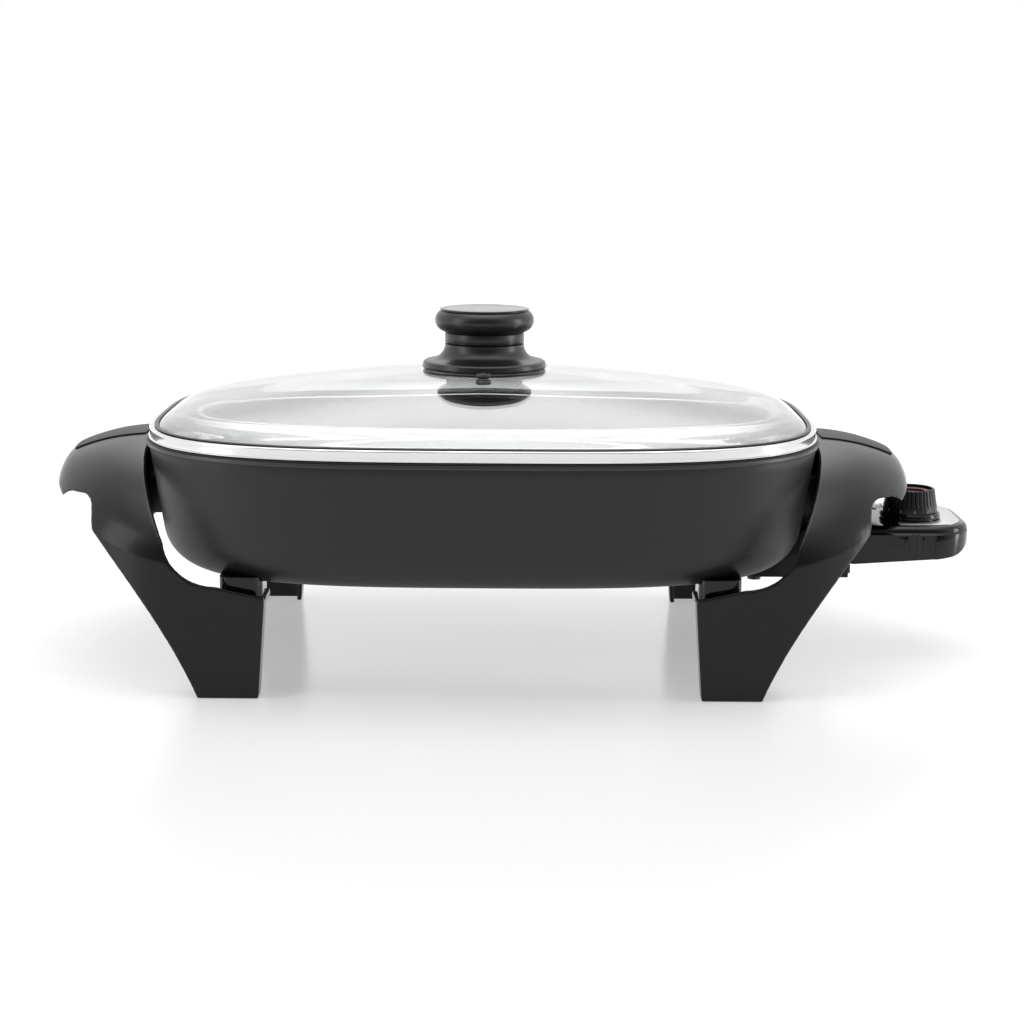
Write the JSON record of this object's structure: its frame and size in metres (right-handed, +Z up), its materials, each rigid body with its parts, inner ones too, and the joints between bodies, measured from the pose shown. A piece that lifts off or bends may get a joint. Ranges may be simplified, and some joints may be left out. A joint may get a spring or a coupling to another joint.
{
  "type": "electric skillet",
  "caption": "Electric skillet with a deep pan on moulded handle-and-leg frames, a lift-off glass lid with a steel band and knob, and a plug-in heat control with a dial.",
  "frame": {"origin": "on the table, under the middle of the whole object (the middle of the pan is at X -18.86 mm)", "axes": "+X towards the heat control, +Y to the back, +Z up."},
  "size_m": [0.5442, 0.2992, 0.2071],
  "materials": {
    "pan_coat": "satin charcoal coating on cast aluminium",
    "element_sheath": "heat-toned steel tube",
    "bright_steel": "plain zinc-plated steel",
    "pin_ceramic": "white insulating ceramic",
    "black_moulding": "satin black phenolic moulding",
    "grip_matte": "fine-grained dark grey",
    "black_steel": "black enamelled sheet",
    "black_gloss": "glossy black moulding",
    "clear_glass": "clear tempered glass",
    "polished_steel": "polished stainless steel",
    "seal_rubber": "dark silicone rubber",
    "silver_plate": "plain silver sheet, bare",
    "amber_lens": "translucent amber lens",
    "socket_brass": "plain brass",
    "carrier_plastic": "cream heat-proof moulding",
    "lead_sleeve": "sleeved wire",
    "dial_red": "red ring, bare"
  },
  "bodies": {
    "base": {"skillet_pan": "pan_coat", "heating_element": "element_sheath", "element_straps": "bright_steel", "terminal_pins": "bright_steel", "pin_insulators": "pin_ceramic", "terminal_guard": "black_moulding", "guard_screws": "bright_steel", "left_handle_frame": "black_moulding", "right_handle_frame": "black_moulding", "left_grip_inlay": "grip_matte", "right_grip_inlay": "grip_matte", "left_handle_bracket": "black_steel", "right_handle_bracket": "black_steel", "bracket_screws": "bright_steel", "left_leg_pads": "black_gloss", "right_leg_pads": "black_gloss", "leg_screws": "bright_steel"},
    "lid": {"lid_glass": "clear_glass", "lid_band": "polished_steel", "steam_vent": "polished_steel", "knob_seal": "seal_rubber", "knob_base": "black_moulding", "knob_head": "black_moulding", "knob_disc": "grip_matte", "knob_washer": "bright_steel", "knob_screw": "bright_steel"},
    "control": {"control_top_shell": "black_gloss", "control_lower_shell": "black_gloss", "control_plate": "silver_plate", "indicator_lens": "amber_lens", "dial_collar": "black_gloss", "heat_probe": "bright_steel", "terminal_sockets": "socket_brass", "socket_carrier": "carrier_plastic", "thermostat_frame": "bright_steel", "bimetal_blade": "socket_brass", "contact_blades": "socket_brass", "control_leads": "lead_sleeve", "cord_gland": "seal_rubber", "control_screws": "bright_steel"},
    "dial": {"dial_knob": "black_moulding", "dial_ring": "dial_red", "dial_spindle": "bright_steel"}
  },
  "joints": [
    {"name": "lid_lift", "type": "slide", "parent": "base", "child": "lid", "axis": [0, 0, 1], "range_m": [0, 0.12]},
    {"name": "control_pull", "type": "slide", "parent": "base", "child": "control", "axis": [1, 0, 0], "range_m": [0, 0.12]},
    {"name": "dial_turn", "type": "hinge", "parent": "control", "child": "dial", "pos_m": [0.23834, -0.012, 0.09], "axis": [0, 0, 1], "range_deg": [0, 300]}
  ]
}
